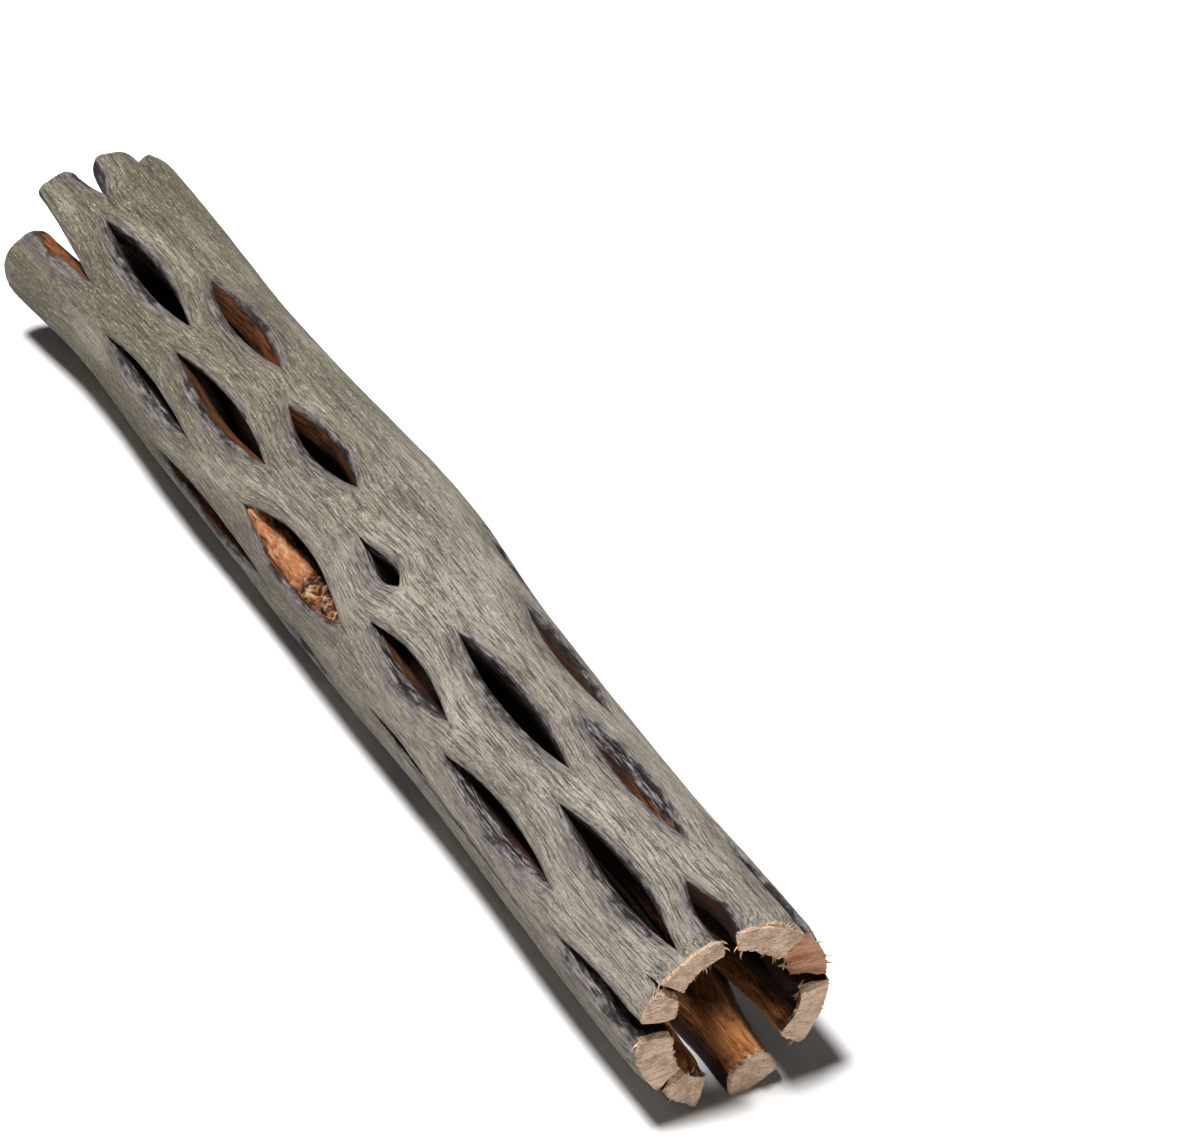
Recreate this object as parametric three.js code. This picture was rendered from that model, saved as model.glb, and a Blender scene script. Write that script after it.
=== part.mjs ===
import * as THREE from "three";

// A cut length of dried cholla cactus stem, sold as driftwood: a hollow woody tube whose wall is
// pierced by lens-shaped slots. The slots follow the spiral in which the living plant set its
// spines, and the wood fibres part around each of them.
// Millimetres, +Z up. The stem lies along X on the plane z = 0, with its sawn end at +X.
// Angles run round the stem in degrees, from 0 at the top towards +Y.

// Stem
const SAWN_END = 76;
const WORN_END = -77.8;
const RADIUS = 11;
const WALL = 4.2;
const WORN_FLAT_DEPTH = 0.35;

// A swelling on one side, where the slots have healed over
const SWELL_HEIGHT = 1.4;
const SWELL_X = -2;
const SWELL_LENGTH = 17;
const SWELL_ANGLE = 62;
const SWELL_SPREAD = 32;

// A flare of the wall at the weathered end
const FLARE_HEIGHT = 1.5;
const FLARE_LENGTH = 12;
const FLARE_ANGLE = -100;
const FLARE_SPREAD = 38;

// Pith left in the hollow at the weathered end
const PITH_HEIGHT = 4;
const PITH_X = -76;
const PITH_LENGTH = 13;
const PITH_ANGLE = 142;
const PITH_SPREAD = 55;

// Places near the two ends where the wall is thinner
const THIN_PLACES = [
  { depth: 1.5, x: WORN_END, length: 14, angle: -78, spread: 35 },
  { depth: 0.9, x: SAWN_END, length: 18, angle: 2, spread: 50 },
];

// Slow waves in the outer and inner skin: lobes round the stem and the pitch of their twist
const OUTER_WAVES = [
  { height: 0.22, lobes: 2, pitch: 90, phase: 0.6 },
  { height: 0.15, lobes: 3, pitch: -47, phase: 2.1 },
];
const INNER_WAVES = [
  { height: 0.45, lobes: 3, pitch: 61, phase: 1.3 },
];

// Spiral of slots
const DIVERGENCE = 137.5;
const FIRST_ANGLE = -18.5;
const FIRST_X = -53.6;
const RISE = 2.75;
const CROWDING = 4.5;
const CROWDED_SLOT = 21;
const CROWDING_PERIOD = 43;
const LOWEST_SLOT = -12;
const HIGHEST_SLOT = 54;
const SLOT_RISES = 7.5;
const SLOT_WIDTH = 3.1;
const WIDTH_SPREAD = 0.7;
const NARROW_SIDE_SHARE = 0.62;
const NARROW_SIDE_ANGLE = 145;
const NARROW_SIDE_SPREAD = 60;
const LENS_FULLNESS = 0.95;
const END_MARGIN = 1.8;

// Slots whose place differs from the spiral's rule, by their number in it
const MEASURED_SLOTS = new Map([
  [-11, { x: -82, angle: 23, length: 20, width: 1.6 }],
  [-8, { x: -77.5, angle: -12, length: 16, width: 2.5 }],
  [-5, { x: -78, angle: -53, length: 37, width: 3.4 }],
  [0, { x: -53.9, angle: -22.5, length: 23, width: 2.9 }],
  [3, { x: -41.6, angle: -67.5, length: 22.6, width: 2.2 }],
  [5, { x: -39.2, angle: 6, length: 19, width: 3.1 }],
  [8, { x: -29.2, angle: -39.5, length: 23.4, width: 2.9 }],
  [11, { x: -24, angle: -95, length: 27, width: 2.8 }],
  [13, { x: -15, angle: -6, length: 17.6, width: 3.2 }],
  [16, { x: -5.2, angle: -66, length: 23.6, width: 5.2 }],
  [21, { x: 4.5, angle: -23.5, length: 11.4, width: 2.3 }],
  [24, { x: 23, angle: -89, length: 15, width: 1.1 }],
  [29, { x: 20.2, angle: -49.5, length: 19.4, width: 2.9 }],
  [34, { x: 33.2, angle: -14, length: 25.4, width: 2.6 }],
  [37, { x: 43.6, angle: -63.5, length: 24, width: 3 }],
  [39, { x: 49.4, angle: 16, length: 23.6, width: 2.8 }],
  [42, { x: 61.3, angle: -30, length: 25.2, width: 2.9 }],
  [43, { x: 72, angle: -168.5, length: 30, width: 3.7 }],
  [44, { x: 67, angle: 49, length: 22, width: 2.4 }],
  [45, { x: 70.5, angle: -80, length: 22.6, width: 2.5 }],
  [46, { x: 75, angle: 141, length: 26, width: 3 }],
  [47, { x: 72.6, angle: -2, length: 12.4, width: 2.7 }],
  [48, { x: 83, angle: -131, length: 23, width: 1.4 }],
  [49, { x: 84, angle: 87, length: 25, width: 1.2 }],
  [50, { x: 84, angle: -51, length: 22, width: 1.4 }],
]);
const HEALED_SLOTS = new Set([-10, -9, -3, -2, 10, 18, 26, 32]);

// How the wood gives way around a slot
const PARTING_REACH = 30;
const PARTING_FADE = 7;
const RIM_DROP = 0.45;
const RIM_WIDTH = 1.1;
const STRUT_BELLY = 0.25;

// The weathered end: struts of unequal length with rounded tips, one of them worn slantwise
const WEAR_DEPTH = 1.4;
const LONGEST_STRUT_ANGLE = -62;
const SLANT_DEPTH = 3;
const SLANT_ANGLES = [-100, -50];
const WEAR_LENGTH = 12;
const TIP_ROUNDING = 0.7;

// Mesh: fibre lines round the stem, rows along it, and levels through the wall
const LINES = 42;
const ROWS = 46;
const LEVELS = 2;

const LINE_STEP = 360 / LINES;
const ROW_STEP = (SAWN_END - WORN_END) / ROWS;
const AXIS_HEIGHT = RADIUS - WORN_FLAT_DEPTH;
const MIDDLE = (SAWN_END + WORN_END) / 2;
const { degToRad, radToDeg, lerp, smoothstep } = THREE.MathUtils;

const wrapDegrees = (angle) => angle - 360 * Math.round(angle / 360);
const bell = (offset, width) => Math.exp(-((offset / width) ** 2));

function waviness(waves, angle, x) {
  let height = 0;
  for (const wave of waves) {
    const turned = degToRad(angle) * wave.lobes + (2 * Math.PI * x) / wave.pitch;
    height += wave.height * Math.sin(turned + wave.phase);
  }
  return height;
}

// A repeatable chance value between 0 and 1 for each slot number
const SCRAMBLE_STEP = 12.9898;
const SCRAMBLE_SIZE = 43758.5453;
function chance(number) {
  const scrambled = Math.sin(number * SCRAMBLE_STEP) * SCRAMBLE_SIZE;
  return scrambled - Math.floor(scrambled);
}

// Slots on the lower side have half closed
function usualWidth(number, angle) {
  const closing = NARROW_SIDE_SHARE * bell(wrapDegrees(angle - NARROW_SIDE_ANGLE), NARROW_SIDE_SPREAD);
  return (SLOT_WIDTH + WIDTH_SPREAD * (chance(number) - 0.5)) * (1 - closing);
}

// Where the spiral's rule puts a slot. The slots crowd together midway along the stem.
function spiralSlot(number) {
  const angle = FIRST_ANGLE - DIVERGENCE * number;
  const phase = (2 * Math.PI * (number - CROWDED_SLOT)) / CROWDING_PERIOD;
  const localRise = RISE - CROWDING * ((2 * Math.PI) / CROWDING_PERIOD) * Math.cos(phase);
  return {
    x: FIRST_X + RISE * number - CROWDING * Math.sin(phase),
    angle,
    length: SLOT_RISES * localRise,
    width: usualWidth(number, angle),
  };
}

// A slot whose tip comes close to an end of the stem runs out of it
function slotTips(slot) {
  let low = slot.x - slot.length / 2;
  let high = slot.x + slot.length / 2;
  if (Math.abs(low - WORN_END) < END_MARGIN) {
    low = WORN_END - END_MARGIN;
  }
  if (Math.abs(high - SAWN_END) < END_MARGIN) {
    high = SAWN_END + END_MARGIN;
  }
  return [low, high];
}

// Each slot opens one fibre line, between the two rows nearest its tips
function slotOnLines(number) {
  const { angle, width, ...run } = MEASURED_SLOTS.get(number) ?? spiralSlot(number);
  const tips = slotTips(run);
  const line = Math.round(angle / LINE_STEP);
  return {
    tips,
    width,
    rows: tips.map((x) => Math.round((x - WORN_END) / ROW_STEP)),
    line: THREE.MathUtils.euclideanModulo(line, LINES),
    shift: angle - line * LINE_STEP,
  };
}

const slots = [];
for (let number = LOWEST_SLOT; number <= HIGHEST_SLOT; number += 1) {
  const slot = slotOnLines(number);
  const onStem = slot.rows[1] > 0 && slot.rows[0] < ROWS;
  if (onStem && !HEALED_SLOTS.has(number)) {
    slots.push(slot);
  }
}

function halfWidth(slot, x) {
  const [low, high] = slot.tips;
  const along = (2 * x - low - high) / (high - low);
  return (slot.width / 2) * Math.max(0, 1 - along * along) ** LENS_FULLNESS;
}

// 1 beside a slot, falling to 0 a given distance past its tips
function beside(slot, x, fade) {
  const past = Math.max(slot.tips[0] - x, x - slot.tips[1], 0);
  return 1 - smoothstep(past, 0, fade);
}

const splitsNode = (slot, line, row) => slot.line === line && row > slot.rows[0] && row < slot.rows[1];
const tipAt = (slot, line, row) => (slot.line === line ? slot.rows.indexOf(row) : -1);

// A node's place along the stem: a slot's tip lies exactly where the slot ends
function nodeX(line, row) {
  for (const slot of slots) {
    const tip = tipAt(slot, line, row);
    if (tip >= 0) {
      return THREE.MathUtils.clamp(slot.tips[tip], WORN_END, SAWN_END);
    }
  }
  return WORN_END + row * ROW_STEP;
}

// The angle of a fibre, pushed aside by the slots near it
function partedAngle(line, x, side, radius, belly) {
  const angle = line * LINE_STEP;
  let parted = angle;
  for (const slot of slots) {
    const away = wrapDegrees(angle - slot.line * LINE_STEP);
    const push = Math.max(0, 1 - Math.abs(away) / PARTING_REACH);
    const edge = slot.line === line ? side : Math.sign(away);
    const open = halfWidth(slot, x);
    const gap = Math.max(open - STRUT_BELLY * belly, open / 2);
    parted += push * (edge * radToDeg(gap / radius) + slot.shift * beside(slot, x, PARTING_FADE));
  }
  return parted;
}

// How far a strut's edge is rounded away beside the slots
function rimDrop(line, x) {
  let drop = 0;
  for (const slot of slots) {
    const away = degToRad(wrapDegrees((line - slot.line) * LINE_STEP)) * RADIUS;
    drop = Math.max(drop, RIM_DROP * bell(away, RIM_WIDTH) * beside(slot, x, 2 * RIM_WIDTH));
  }
  return drop;
}

function outerRadius(angle, x) {
  const swell = bell(x - SWELL_X, SWELL_LENGTH) * bell(wrapDegrees(angle - SWELL_ANGLE), SWELL_SPREAD);
  const flare = bell(x - WORN_END, FLARE_LENGTH) * bell(wrapDegrees(angle - FLARE_ANGLE), FLARE_SPREAD);
  return RADIUS + SWELL_HEIGHT * swell + FLARE_HEIGHT * flare + waviness(OUTER_WAVES, angle, x);
}

function innerRadius(angle, x) {
  const pith = bell(x - PITH_X, PITH_LENGTH) * bell(wrapDegrees(angle - PITH_ANGLE), PITH_SPREAD);
  let radius = RADIUS - WALL - PITH_HEIGHT * pith + waviness(INNER_WAVES, angle, x);
  for (const thin of THIN_PLACES) {
    radius += thin.depth * bell(x - thin.x, thin.length) * bell(wrapDegrees(angle - thin.angle), thin.spread);
  }
  return radius;
}

// How far a strut stops short at the weathered end
function tipWear(angle, x, side, belly) {
  const [slantStart, slantEnd] = SLANT_ANGLES;
  const turned = wrapDegrees(angle);
  const onSlant = turned < slantEnd && side < 1;
  const slant = onSlant ? SLANT_DEPTH * smoothstep(turned, slantStart, slantEnd) : 0;
  const short = WEAR_DEPTH * Math.sin(degToRad(angle - LONGEST_STRUT_ANGLE)) ** 2;
  const rounding = x === WORN_END ? TIP_ROUNDING * (1 - belly) : 0;
  return (short + slant) * (1 - smoothstep(x - WORN_END, 0, WEAR_LENGTH)) + rounding;
}

function nodePosition(line, row, side, level) {
  const depth = level / LEVELS;
  const belly = 4 * depth * (1 - depth);
  const angle = line * LINE_STEP;
  const x = nodeX(line, row);
  const rounding = rimDrop(line, x);
  const outer = outerRadius(angle, x) - rounding;
  const inner = innerRadius(angle, x) + rounding / 2;
  const radius = lerp(outer, inner, depth);
  const parted = degToRad(partedAngle(line, x, side, radius, belly));
  const height = Math.max(radius * Math.cos(parted), -AXIS_HEIGHT);
  return [x + tipWear(angle, x, side, belly), radius * Math.sin(parted), height];
}

const positions = [];
const faces = [];
const nodeNumbers = new Map();

// Nodes along an open slot are doubled, one for each of its edges
function node(line, row, side, level) {
  const onLine = THREE.MathUtils.euclideanModulo(line, LINES);
  const split = slots.some((slot) => splitsNode(slot, onLine, row));
  const key = [onLine, row, split ? side : 0, level].join();
  if (!nodeNumbers.has(key)) {
    nodeNumbers.set(key, nodeNumbers.size);
    positions.push(...nodePosition(onLine, row, split ? side : 0, level));
  }
  return nodeNumbers.get(key);
}

function quad(a, b, c, d) {
  faces.push(a, b, c, a, c, d);
}

function addSkins() {
  for (let line = 0; line < LINES; line += 1) {
    for (let row = 0; row < ROWS; row += 1) {
      const corners = (level) => [
        node(line, row, 1, level),
        node(line, row + 1, 1, level),
        node(line + 1, row + 1, -1, level),
        node(line + 1, row, -1, level),
      ];
      quad(...corners(0));
      quad(...corners(LEVELS).reverse());
    }
  }
}

function addEnds() {
  for (const row of [0, ROWS]) {
    for (let line = 0; line < LINES; line += 1) {
      for (let level = 0; level < LEVELS; level += 1) {
        const corners = [
          node(line, row, 1, level + 1),
          node(line + 1, row, -1, level + 1),
          node(line + 1, row, -1, level),
          node(line, row, 1, level),
        ];
        quad(...(row === ROWS ? corners : corners.reverse()));
      }
    }
  }
}

function addSlotWalls() {
  for (const slot of slots) {
    const firstRow = Math.max(slot.rows[0], 0);
    const lastRow = Math.min(slot.rows[1], ROWS);
    for (let row = firstRow; row < lastRow; row += 1) {
      for (let level = 0; level < LEVELS; level += 1) {
        for (const side of [1, -1]) {
          const corners = [
            node(slot.line, row, side, level + 1),
            node(slot.line, row + 1, side, level + 1),
            node(slot.line, row + 1, side, level),
            node(slot.line, row, side, level),
          ];
          quad(...(side === 1 ? corners : corners.reverse()));
        }
      }
    }
  }
}

function stemGeometry() {
  addSkins();
  addEnds();
  addSlotWalls();
  const geometry = new THREE.BufferGeometry();
  geometry.setAttribute("position", new THREE.Float32BufferAttribute(positions, 3));
  geometry.setIndex(faces);
  geometry.translate(-MIDDLE, 0, AXIS_HEIGHT);
  geometry.computeVertexNormals();
  return geometry;
}

const weatheredWood = new THREE.MeshStandardMaterial({
  color: 0xa89f8f,
  roughness: 0.92,
  metalness: 0,
});

const stem = new THREE.Mesh(stemGeometry(), weatheredWood);
stem.name = "cholla_stem";

const driftwood = new THREE.Group();
driftwood.name = "driftwood";
driftwood.add(stem);

export default driftwood;
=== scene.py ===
"""A weathered length of cholla wood, lying on a pale floor under soft light.

The stem is a hollow tube of fibres. Its slots follow the spiral in which the living plant set its
spines, and the fibres part around each slot, so the grain of every surface follows them too.
Lengths are in millimetres until a mesh is made, and angles are in degrees round the stem, from 0 at
the top towards +Y.
"""

import math
from types import SimpleNamespace

import bpy
import numpy as np
from mathutils import Matrix, Vector


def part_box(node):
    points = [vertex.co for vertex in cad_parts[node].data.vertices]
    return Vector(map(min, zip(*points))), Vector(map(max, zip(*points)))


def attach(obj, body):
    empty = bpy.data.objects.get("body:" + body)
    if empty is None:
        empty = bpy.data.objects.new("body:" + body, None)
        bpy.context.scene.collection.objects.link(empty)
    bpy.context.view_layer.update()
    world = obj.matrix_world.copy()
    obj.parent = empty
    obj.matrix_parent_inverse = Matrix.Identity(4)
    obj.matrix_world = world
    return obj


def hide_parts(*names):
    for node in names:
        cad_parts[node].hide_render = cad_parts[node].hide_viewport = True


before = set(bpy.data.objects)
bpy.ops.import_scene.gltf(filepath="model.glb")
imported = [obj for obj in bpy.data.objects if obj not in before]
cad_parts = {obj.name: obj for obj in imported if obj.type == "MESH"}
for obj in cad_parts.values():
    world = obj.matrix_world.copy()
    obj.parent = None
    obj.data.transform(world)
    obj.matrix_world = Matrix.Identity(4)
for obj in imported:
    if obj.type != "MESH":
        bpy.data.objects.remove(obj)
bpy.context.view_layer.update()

bl_info = {
    "name": "Cholla driftwood",
    "version": (1, 0, 0),
    "blender": (4, 5, 0),
    "location": "3D View > Sidebar > Driftwood",
    "description": "Builds a weathered, slotted length of cholla wood and its studio",
    "category": "Add Mesh",
}

MM = 0.001
STEM_NODE = "cholla_stem"
SOFT_RUN = {"interpolation_type": "SMOOTHSTEP"}

# The stem's form, as the solid has it
SAWN_END = 76.0
MIDDLE = SAWN_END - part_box(STEM_NODE)[1].x / MM
WORN_END = 2 * MIDDLE - SAWN_END
RADIUS = 11.0
WALL = 4.2
AXIS_HEIGHT = RADIUS - 0.35
SWELL = SimpleNamespace(height=1.4, x=-2.0, length=17.0, angle=62.0, spread=32.0)
FLARE = SimpleNamespace(height=1.5, x=WORN_END, length=12.0, angle=-100.0, spread=38.0)
PITH = SimpleNamespace(height=4.0, x=-76.0, length=13.0, angle=142.0, spread=55.0)
THIN_PLACES = (
    SimpleNamespace(height=1.5, x=WORN_END, length=14.0, angle=-78.0, spread=35.0),
    SimpleNamespace(height=0.9, x=SAWN_END, length=18.0, angle=2.0, spread=50.0),
)
OUTER_WAVES = ((0.22, 2, 90.0, 0.6), (0.15, 3, -47.0, 2.1))
INNER_WAVES = ((0.45, 3, 61.0, 1.3),)

# The spiral of slots
DIVERGENCE = 137.5
FIRST_ANGLE = -18.5
FIRST_X = -53.6
RISE = 2.75
CROWDING = 4.5
CROWDED_SLOT = 21
CROWDING_PERIOD = 43
SLOT_NUMBERS = range(-12, 55)
HEALED_SLOTS = {-10, -9, -3, -2, 10, 18, 26, 32}
SLOT_RISES = 7.5
SLOT_WIDTH = 3.1
WIDTH_SPREAD = 0.7
NARROW_SIDE_SHARE = 0.62
NARROW_SIDE_ANGLE = 145.0
NARROW_SIDE_SPREAD = 60.0
LENS_FULLNESS = 0.95
END_MARGIN = 1.8
SHORTEST_NOTCH = 1.7
PARTING_REACH = 30.0
PARTING_FADE = 7.0
STRUT_BELLY = 0.25

# Slots whose place differs from the spiral's rule: middle x, angle, length, width
MEASURED_SLOTS = {
    -11: (-82, 23, 20, 1.6),
    -8: (-77.5, -12, 16, 2.5),
    -5: (-78, -53, 37, 3.4),
    0: (-53.9, -22.5, 23, 2.9),
    3: (-41.6, -67.5, 22.6, 2.2),
    5: (-39.2, 6, 19, 3.1),
    8: (-29.2, -39.5, 23.4, 2.9),
    11: (-24, -95, 27, 2.8),
    13: (-15, -6, 17.6, 3.2),
    16: (-5.2, -66, 23.6, 5.2),
    21: (4.5, -23.5, 11.4, 2.3),
    24: (23, -89, 15, 1.1),
    29: (20.2, -49.5, 19.4, 2.9),
    34: (33.2, -14, 25.4, 2.6),
    37: (43.6, -63.5, 24, 3),
    39: (49.4, 16, 23.6, 2.8),
    42: (61.3, -30, 25.2, 2.9),
    43: (72, -168.5, 30, 3.7),
    44: (67, 49, 22, 2.4),
    45: (70.5, -80, 22.6, 2.5),
    46: (75, 141, 26, 3),
    47: (72.6, -2, 12.4, 2.7),
    48: (83, -131, 23, 1.4),
    49: (84, 87, 25, 1.2),
    50: (84, -51, 22, 1.4),
}
# Healed slots that left a crease
CREASES = ((13.6, 9, 14, 1.0), (33, -91, 34, 1.6))
# How far a slot's widest place lies from its middle, towards the sawn end
SKEWED_SLOTS = {21: 0.55}
# Slots whose walls show fresh, orange wood, from 0, weathered, to 1, freshly torn
BRIGHT_SLOTS = {-5: 0.85, 5: 0.75, 8: 0.65, 11: 0.7, 13: 0.75, 16: 0.7, 29: 0.35, 37: 0.3, 39: 0.75}
USUAL_BRIGHTNESS = 0.08
TORN_SLOTS = {16: 1.0}
# How much of that freshness is lost away from the sawn end, or, where negative, towards it
FADING_SLOTS = {5: 0.3, 8: 0.5, 13: -0.4, 29: -0.9, 37: 0.9, 39: 0.85}
# The part of a slot's length over which it is lost, and how far fresh and torn wood reach past a slot
FADING_RUN = (0.15, 0.65)
FRESH_REACH = 1.0
TORN_REACH = 0.8
TORN_DEPTHS = (0.05, 0.3)
# How deep the grey of the skin reaches into a slot, from 0 to 1
GREYED_SLOTS = {
    -11: 1.0, -8: 1.0, 0: 0.45, 3: 0.3, 21: 0.5, 29: 0.5, 34: 0.3, 37: 0.6, 39: 0.6, 42: 0.4, 45: 0.5
}
USUAL_GREYING = 0.1
# How far, in millimetres, the wall that faces the weather leans under a slot
WEATHER_ANGLE = -31.0
LEANING_SLOTS = {0: 0.3, 3: -0.3, 16: 0.7, 21: 0.4, 29: 0.4, 37: -0.2, 39: 1.3, 42: 0.2}
USUAL_LEAN = 0.15
OTHER_LEAN = 0.1
# A strut that broke off behind the saw cut, between two of the slots, most of all at its inner side
BROKEN_BETWEEN = (44, 49)
BROKEN_DEPTH = 1.7
BROKEN_LENGTH = 6.0
BROKEN_SHARES = (0.2, 1.6)
LEAST_SPLINTER = 0.5
# Rims of the slots, as shares of a lower edge's rim, and the narrowest slot with a full rim
UPPER_RIM_SHARE = 0.5
UPPER_STAIN_SHARE = 0.4
TIP_RIM_SHARE = 0.5
FULL_RIM_SLOT = 2.5
# Chipped edges of the sawn end, and the fibres torn there
CHIP_REACH = 3.2
CHIP_ROUNDING = 0.8
CHIPPED_LEVEL = 0.1
SAWN_EDGE_WIDTH = 0.5
DENT_LINES = 6
NICK_SHARE = 0.35
FIBRE_CLEARANCE = 1.5
FIBRE_LEAN = (0.5, 0.0, 0.0)
TUFTS_PER_METRE = 450.0
SLIVER_FLATNESS = 0.35
SLIVER_SIZES = (0.35, 1.2)
SLIVER_TURN = (0.5, 0.5, 3.1)
# Fresh orange wood at the bottom of the hollow, towards the sawn end, with painted light on it, as if lit
# through the open sawn end
FRESH_LIT_INSIDE_FROM = 34.0
FRESH_LIT_INSIDE_BRIGHTNESS = 1.7
FRESH_LIT_INSIDE_DEPTHS = (0.5, 0.95)
FRESH_LIT_INSIDE_DROPS = (0.2, 0.7)
# The ridge of crumbling wood in the torn slot, in shares of its radius, length and relief
RIDGE_ENDS = (0.01, 0.99)
RIDGE_ACROSS = 0.35
CRUMBS_ACROSS = 0.4
RIDGE_INWARD = 1.15
CRUMBLING_RUN = (0.45, 0.7)
FIBROUS_RELIEF = 0.55
CRUMBLY_RELIEF = 0.4

# The weathered end
WEAR_DEPTH = 1.4
LONGEST_STRUT_ANGLE = -62.0
SLANT_SLOT = -5
SLANT_DEPTH = 3.0
SLANT_ANGLES = (-100.0, -50.0)
WEAR_LENGTH = 12.0
TIP_ROUNDING = 0.7
TIP_REACH = 3.2
CORNER_WIDTH = 1.5
CORNER_DEPTH = 0.8
CORNER_LENGTH = 4.0
GREY_TIP_START = 0.3
GREY_TIP_END = 6.0
FRESH_TIP_END = 2.0
FRESH_FROM = 0.3
TIP_DEPTH_SHARE = 0.15

# The fine mesh: fibre lines round the stem, rows along it, levels through the wall
LINES = 264
LINE_STEP = 360.0 / LINES
MIDDLE_ROWS = 134
END_BAND = 2.4
END_BAND_ROWS = 5
END_CROWDING = 1.3
RIDGE_RINGS = 150
RIDGE_SIDES = 40
LEVEL_DEPTHS = (0.0, 0.1, 0.28, 0.5, 0.72, 0.9, 1.0)
INNER_RELIEF_FROM = 0.05
SHARP_ANGLE = 55.0

# The photograph's view
PHOTO_SIZE = (1200, 1140)
FOCAL_PIXELS = 6500.0
AXIS_PIXEL = (395.1, 595.9)
CAMERA_DISTANCE = 693.9
CAMERA_ELEVATION = 37.61
CAMERA_HEADING = -27.46
SENSOR_WIDTH = 36.0
SEEN_FROM, SEEN_TO = 0.01, 20.0

# The studio, in metres: the floor's half width, and each light's width and place
FLOOR_HALF = 4.0
KEY_LIGHT = (0.26, (-0.06, -0.2, 1.1))
FILL_LIGHT = (0.2, (1.0, -0.1, 0.12))


def linear(colour):
    """Turn an sRGB hex value into linear red, green, blue and alpha."""
    channels = [int(colour[i : i + 2], 16) / 255 for i in (1, 3, 5)]
    low = [c / 12.92 for c in channels]
    high = [((c + 0.055) / 1.055) ** 2.4 for c in channels]
    return [a if c <= 0.04045 else b for a, b, c in zip(low, high, channels)] + [1.0]


def size_property(name, description, default):
    """A size in millimetres that a user may change."""
    return bpy.props.FloatProperty(name=name, description=description, default=default, min=0.0)


def colour_property(name, description, default):
    """A colour that a user may change, given as sRGB hex."""
    return bpy.props.FloatVectorProperty(
        name=name, description=description, default=linear(default), size=4, subtype="COLOR", min=0, max=1
    )


class StemShape(bpy.types.PropertyGroup):
    """Sizes of the stem's fine surface, in millimetres."""

    rim_width: size_property("Rim width", "How far from a slot its lower edge starts to roll in", 1.7)
    rim_drop: size_property("Rim drop", "How deep a slot's lower edge rolls in", 0.6)
    rim_run: size_property("Groove length", "How far the groove at a slot's tip runs on", 3.0)
    stain_width: size_property("Stain width", "How far the stain of a slot spreads over the skin", 4.2)
    skin_relief: size_property("Skin relief", "Height of the fibres on the weathered skin", 0.15)
    inner_relief: size_property("Inner relief", "Height of the fibres inside the stem", 0.3)
    torn_relief: size_property("Torn relief", "Height of the lumps of torn wood", 0.3)
    fibre_width: size_property("Fibre width", "Width of the raised fibres", 0.6)
    fibre_length: size_property("Fibre length", "Length of the raised fibres", 7.0)
    lump_size: size_property("Lump size", "Size of the lumps of torn wood", 1.0)
    chip_depth: size_property("Chip depth", "Deepest chips along the sawn edges", 1.5)
    torn_length: size_property("Torn fibre length", "Length of the fibres torn by the saw", 0.9)
    torn_width: size_property("Torn fibre width", "Width of the fibres torn by the saw", 0.26)
    torn_share: bpy.props.FloatProperty(
        name="Torn share", description="Share of the torn edges with fibres", default=0.55, min=0, max=1
    )
    torn_bareness: bpy.props.FloatProperty(
        name="Bareness", description="How bare the torn edges are", default=0.52, min=0, max=1
    )
    ridge_width: size_property("Ridge width", "Width of the ridge of crumbling wood in the torn slot", 3.2)
    ridge_relief: size_property("Ridge relief", "Height of the crumbs of that ridge", 2.0)
    crumb_width: size_property("Crumb width", "Width of the crumbs of that ridge", 0.8)
    crumb_length: size_property("Crumb length", "Length of the fibres at that ridge's smoother end", 2.6)
    seed: bpy.props.IntProperty(name="Seed", description="Seed of every chance value", default=7)


class StemFinish(bpy.types.PropertyGroup):
    """Colours of the wood."""

    skin: colour_property("Skin", "Weathered skin towards the sawn end", "#9a9185")
    # Darker skin towards the weathered end: a browner tone, and painted shade for the weaker light there
    skin_far: colour_property("Far skin", "Browner skin towards the weathered end", "#726a57")
    skin_pale: colour_property("Pale fibres", "Bleached fibres of the skin", "#c8c1b2")
    # Dark of the fine cracks, also used as painted shade on the underside and in the grooves of the skin
    crack_dark_and_shade: colour_property("Dark cracks", "Fine cracks between the fibres of the skin", "#3f392f")
    stain: colour_property("Stain", "Violet grey stain around the slots", "#948c8d")
    stain_dark: colour_property("Dark stain", "Dark streaks of the stain", "#464040")
    # Near black edge of the slots: dark stain, and painted shade where the edges drop into the holes
    edge_stain_and_shade: colour_property("Burn", "Near black edge of the slots", "#221c1a")
    wall: colour_property("Slot wall", "Red brown wood inside the slots", "#281711")
    wall_bright: colour_property("Fresh wood", "Orange brown wood inside the slots", "#a8622f")
    torn_core: colour_property("Torn wood", "Peach orange wood of the torn slot", "#b4845f")
    # Fresh orange wood inside near the sawn end, made paler as painted light
    fresh_lit_inside: colour_property("Sheltered wood", "Orange wood inside, near the sawn end", "#d78e56")
    # Dark red brown wood of the hollow, painted near black as the shade deep inside the stem
    inside: colour_property("Inside", "Dark wood of the hollow", "#2c1c13")
    sawn: colour_property("Sawn wood", "Pale pinkish wood of the sawn end", "#d8bca4")
    sawn_dark: colour_property("Sawn pores", "Darker pores and saw marks", "#9f7f67")
    broken: colour_property("Broken wood", "Orange wood where a strut broke", "#a9673f")
    torn: colour_property("Torn fibres", "Yellowish fibres torn by the saw", "#d6b48c")


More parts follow.
